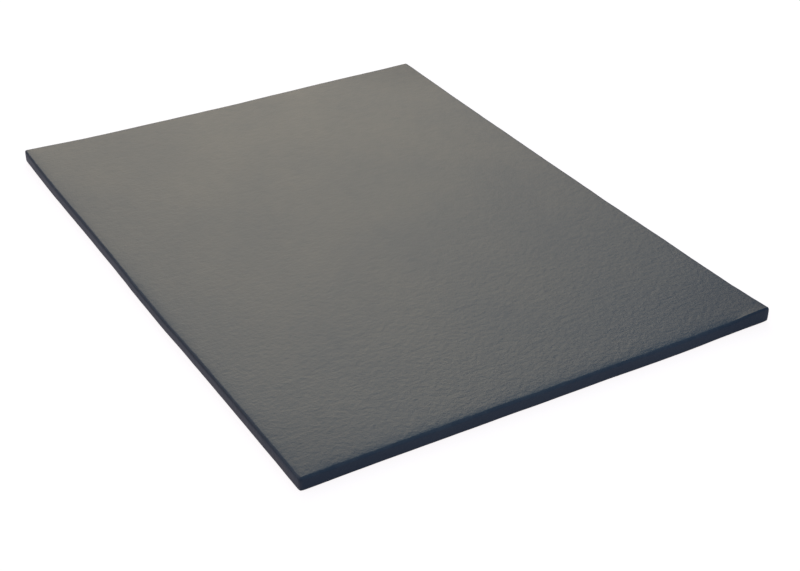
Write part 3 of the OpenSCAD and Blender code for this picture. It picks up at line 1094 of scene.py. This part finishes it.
def stitches_half():
    """Threads round the front base sheet, each a bent tube with closed ends."""
    verts, faces = [], []
    thread_z = THREAD_R + 0.05 * MM
    for number, (x, y, along_x, place) in enumerate(stitch_places()):
        start = len(verts)
        stretch, slant = jitter(number, 7, 5), jitter(number, 9, 6)
        for ring in range(STITCH_RINGS):
            part = -1 + 2 * ring / (STITCH_RINGS - 1)
            along = place + part * STITCH_LENGTH / 2 * (1 + 0.04 * stretch)
            rise = 0.32 * MM * part ** 6              # the ends dive into the sheet
            shift = 0.10 * MM * slant * part
            taper = 0.92 if abs(part) < 0.99 else 0.45
            thick = THREAD_R * taper * (1 - 0.10 * part * part)
            for k in range(STITCH_AROUND):
                angle = 2 * math.pi * k / STITCH_AROUND + 0.5 * ring
                radius = thick * (1 + 0.05 * math.cos(2 * angle - 1.2 * ring))
                across = shift + radius * math.cos(angle)
                z = thread_z + rise + radius * math.sin(angle)
                verts.append((x + along, y + across, z) if along_x
                             else (x + across, y + along, z))

        def at(ring, k):
            return start + ring * STITCH_AROUND + k % STITCH_AROUND

        tube = [(at(ring, k), at(ring, k + 1), at(ring + 1, k + 1), at(ring + 1, k))
                for ring in range(STITCH_RINGS - 1) for k in range(STITCH_AROUND)]
        tube.append(tuple(at(0, k) for k in reversed(range(STITCH_AROUND))))
        tube.append(tuple(at(STITCH_RINGS - 1, k) for k in range(STITCH_AROUND)))
        faces += tube if along_x else [tuple(reversed(face)) for face in tube]
    return np.array(verts), faces


make_halves("base_stitching", stitches_half(), THREAD)

# ---------------------------------------------------------------- floor
FLOOR_HALF, FLOOR_Z = 30.0, -0.0004
FLOOR_SEEN, FLOOR_BOUNCE = rgb(1.55, 1.55, 1.55), rgb(0.42, 0.40, 0.44)
FLOOR_GLOW, FLOOR_GLOW_SHARE = rgb(1.07, 1.03, 1.03), 0.85
FLOOR_LIGHT = rgb(0.16, 0.155, 0.166)         # the lit floor beyond the reach of the banks


def floor():
    """Pale floor, kept even by its glow, with only a faint contact shadow."""
    mesh = bpy.data.meshes.new("floor")
    corners = [(x * FLOOR_HALF, y * FLOOR_HALF, FLOOR_Z)
               for x, y in ((-1, -1), (1, -1), (1, 1), (-1, 1))]
    mesh.from_pydata(corners, [], [(0, 1, 2, 3)])
    obj = bpy.data.objects.new("floor", mesh)
    bpy.context.scene.collection.objects.link(obj)
    mat, nodes = material("floor_pale")
    bounce = nodes.new("ShaderNodeAddShader", {
        0: nodes.shader("BsdfDiffuse", FLOOR_BOUNCE),
        1: nodes.shader("Emission", FLOOR_LIGHT)}).outputs[0]
    seen = nodes.new("ShaderNodeMixShader", {
        0: FLOOR_GLOW_SHARE,
        1: nodes.shader("BsdfDiffuse", FLOOR_SEEN),
        2: nodes.shader("Emission", FLOOR_GLOW)}).outputs[0]
    nodes.new("ShaderNodeOutputMaterial", {0: nodes.camera_or_rest(seen, bounce)})
    mesh.materials.append(mat)


floor()

# ---------------------------------------------------------------- light from the world
AMBIENT = rgb(0.20, 0.22, 0.28)
BACKDROP = rgb(1.0, 1.0, 1.0)
# Soft light banks: azimuth from +Y towards +X, elevation, outer angle, colour
BANKS = (
    # the brightest, at the back and to the right
    (25, 30, 26, (1.59, 1.45, 1.17)),
    (21, 36, 20, (0.84, 0.81, 0.70)),
    (34, 27, 20, (0.63, 0.50, 0.29)),
    (21, 27, 20, (0.51, 0.34, 0.09)),
    (8, 22, 20, (0.28, 0.23, 0.15)),
    (38, 50, 26, (0.10, 0.26, 0.35)),
    (10, 48, 26, (0.05, 0.12, 0.16)),
    # fill from the left
    (-75, 48, 36, (0.60, 0.61, 0.60)),
    (-55, 12, 26, (0.46, 0.42, 0.39)),
    (-35, 25, 26, (0.26, 0.24, 0.23)),
    (-30, 50, 30, (0.14, 0.16, 0.19)),
    # cool fill from high at the back, from the right and from the front
    (0, 66, 30, (0.08, 0.14, 0.19)),
    (70, 55, 35, (0.00, 0.11, 0.19)),
    (180, 60, 40, (0.25, 0.33, 0.37)),
    (180, 25, 50, (0.05, 0.14, 0.23)),
    (135, 25, 50, (0.04, 0.09, 0.14)),
)


def direction(azimuth, elevation):
    """Unit vector, from angles in degrees."""
    turn, rise = math.radians(azimuth), math.radians(elevation)
    return (math.sin(turn) * math.cos(rise), math.cos(turn) * math.cos(rise), math.sin(rise))


def world():
    studio = bpy.data.worlds.new("studio")
    studio.use_nodes = True
    bpy.context.scene.world = studio
    nodes = Nodes(studio.node_tree)
    ray = nodes.new("ShaderNodeTexCoord").outputs["Generated"]
    total = AMBIENT
    for azimuth, elevation, outer, color in BANKS:
        facing = nodes.vector("DOT_PRODUCT", ray, direction(azimuth, elevation))
        inside = nodes.ramp(facing, (math.cos(math.radians(outer)), 1.0))
        total = nodes.mix(inside, total, rgb(*color), blend="ADD")
    lit = nodes.shader("Background", total)
    seen = nodes.shader("Background", BACKDROP)
    nodes.new("ShaderNodeOutputWorld", {0: nodes.camera_or_rest(seen, lit)})


world()

# ---------------------------------------------------------------- camera
CAMERA_PLACE = (-1.2223060853, -2.1599204044, 1.4258670471)
# the camera's own axes: its right, its up, and back towards the viewer
CAMERA_RIGHT = (0.8595097232, -0.5110433522, 0.0088163351)
CAMERA_UP = (0.2627748104, 0.4566170957, 0.8499707212)
CAMERA_BACK = (-0.4383975760, -0.7282413886, 0.5267561535)


def camera():
    data = bpy.data.cameras.new("camera")
    data.sensor_width = 36.0
    data.lens = 67.822515
    data.clip_end = 100.0
    obj = bpy.data.objects.new("camera", data)
    bpy.context.scene.collection.objects.link(obj)
    rows = zip(CAMERA_RIGHT, CAMERA_UP, CAMERA_BACK, CAMERA_PLACE)
    obj.matrix_world = Matrix((*rows, (0, 0, 0, 1)))
    bpy.context.scene.camera = obj


camera()
bpy.context.scene.view_settings.view_transform = "Standard"
bpy.context.scene.view_settings.look = "None"
